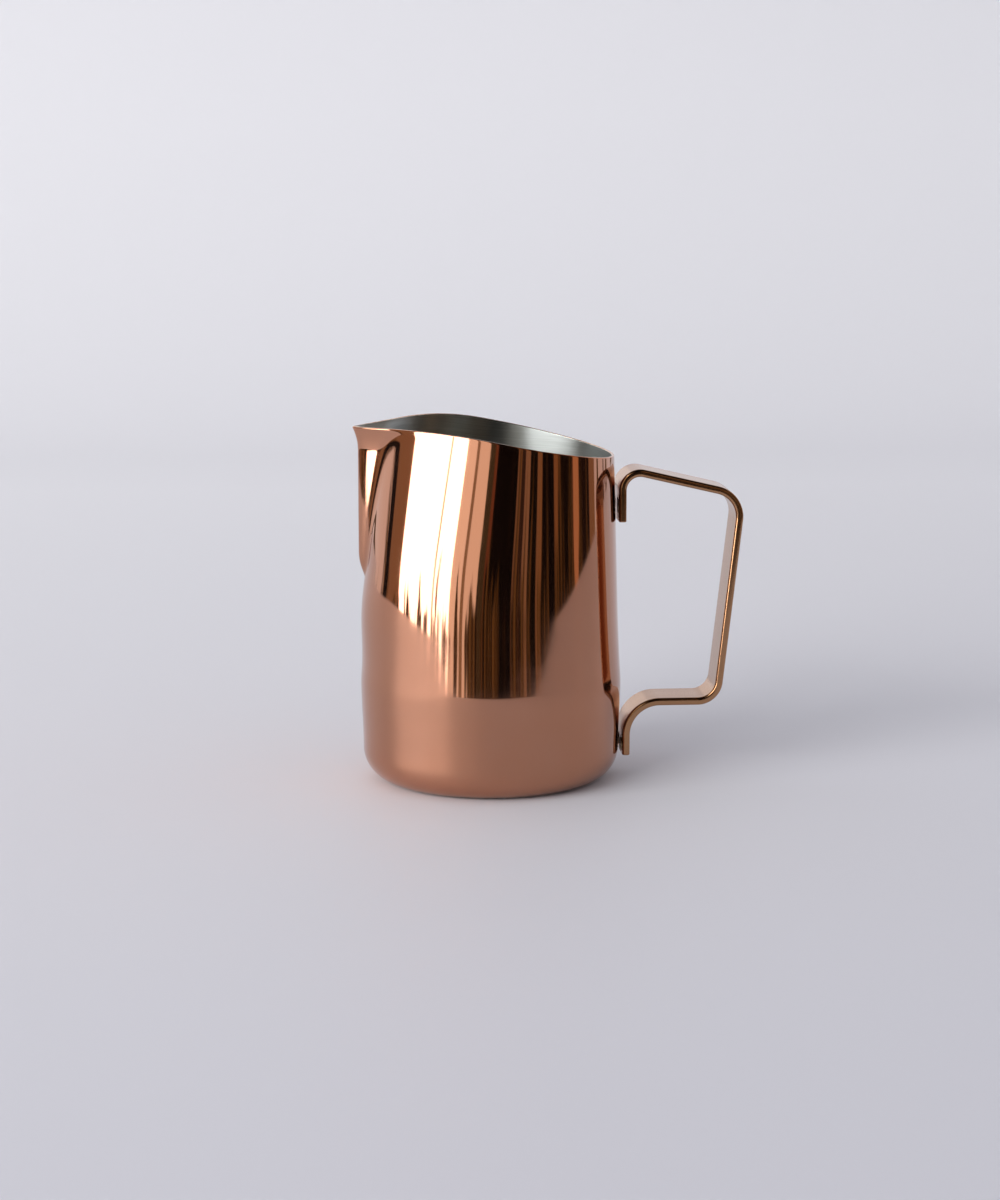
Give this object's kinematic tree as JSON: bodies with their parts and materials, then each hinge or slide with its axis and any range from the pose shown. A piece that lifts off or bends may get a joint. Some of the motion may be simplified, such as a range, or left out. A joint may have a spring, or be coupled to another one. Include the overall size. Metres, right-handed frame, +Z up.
{
  "type": "milk frothing pitcher",
  "caption": "Slanted steel frothing pitcher with a V-shaped spout, a copper-coloured mirror coat outside, bare brushed steel inside and a bent flat strap handle.",
  "frame": {"origin": "on the table, under the middle of the round base, on the axis of the round cup", "axes": "+Z up, +X towards the handle, the spout points to -X, +Y completes a right-handed frame"},
  "size_m": [0.1193, 0.0802, 0.1099],
  "materials": {
    "copper_coat": "polished",
    "copper_strap": "gloss",
    "weld_steel": "satin"
  },
  "bodies": {
    "root": {"pitcher_body": "copper_coat", "handle_strap": "copper_strap", "upper_weld_left": "weld_steel", "upper_weld_right": "weld_steel", "lower_weld_left": "weld_steel", "lower_weld_right": "weld_steel"}
  },
  "joints": []
}
